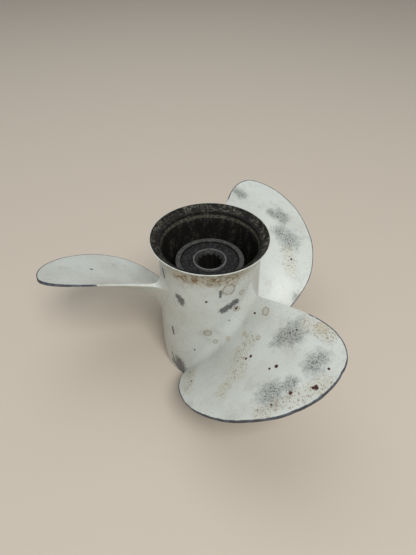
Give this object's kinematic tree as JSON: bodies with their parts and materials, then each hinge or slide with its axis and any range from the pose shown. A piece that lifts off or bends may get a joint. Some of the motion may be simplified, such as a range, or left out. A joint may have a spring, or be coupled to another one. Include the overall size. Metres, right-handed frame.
{
  "type": "outboard motor propeller",
  "caption": "Three-blade through-hub-exhaust propeller in worn white-painted aluminium, with a rubber bushing and a splined sleeve, standing on the forward end of its hub.",
  "frame": {"origin": "on the shaft line, in the plane of the hub's forward face, on which the propeller stands", "axes": "+Z aft along the shaft line, towards the flared end of the hub; +X to the right in the picture, with the first blade 61.1 degrees clockwise from it seen from aft"},
  "size_m": [0.2557, 0.272, 0.1378],
  "materials": {
    "casting_paint": "worn semi-gloss off-white paint on aluminium, sooty inside the hub, bare at the blade edges",
    "bushing_rubber": "matt black rubber with grey dust",
    "sleeve_metal": "dull scuffed metal"
  },
  "bodies": {
    "root": {"casting": "casting_paint", "rubber_bushing": "bushing_rubber", "splined_sleeve": "sleeve_metal"}
  },
  "joints": []
}
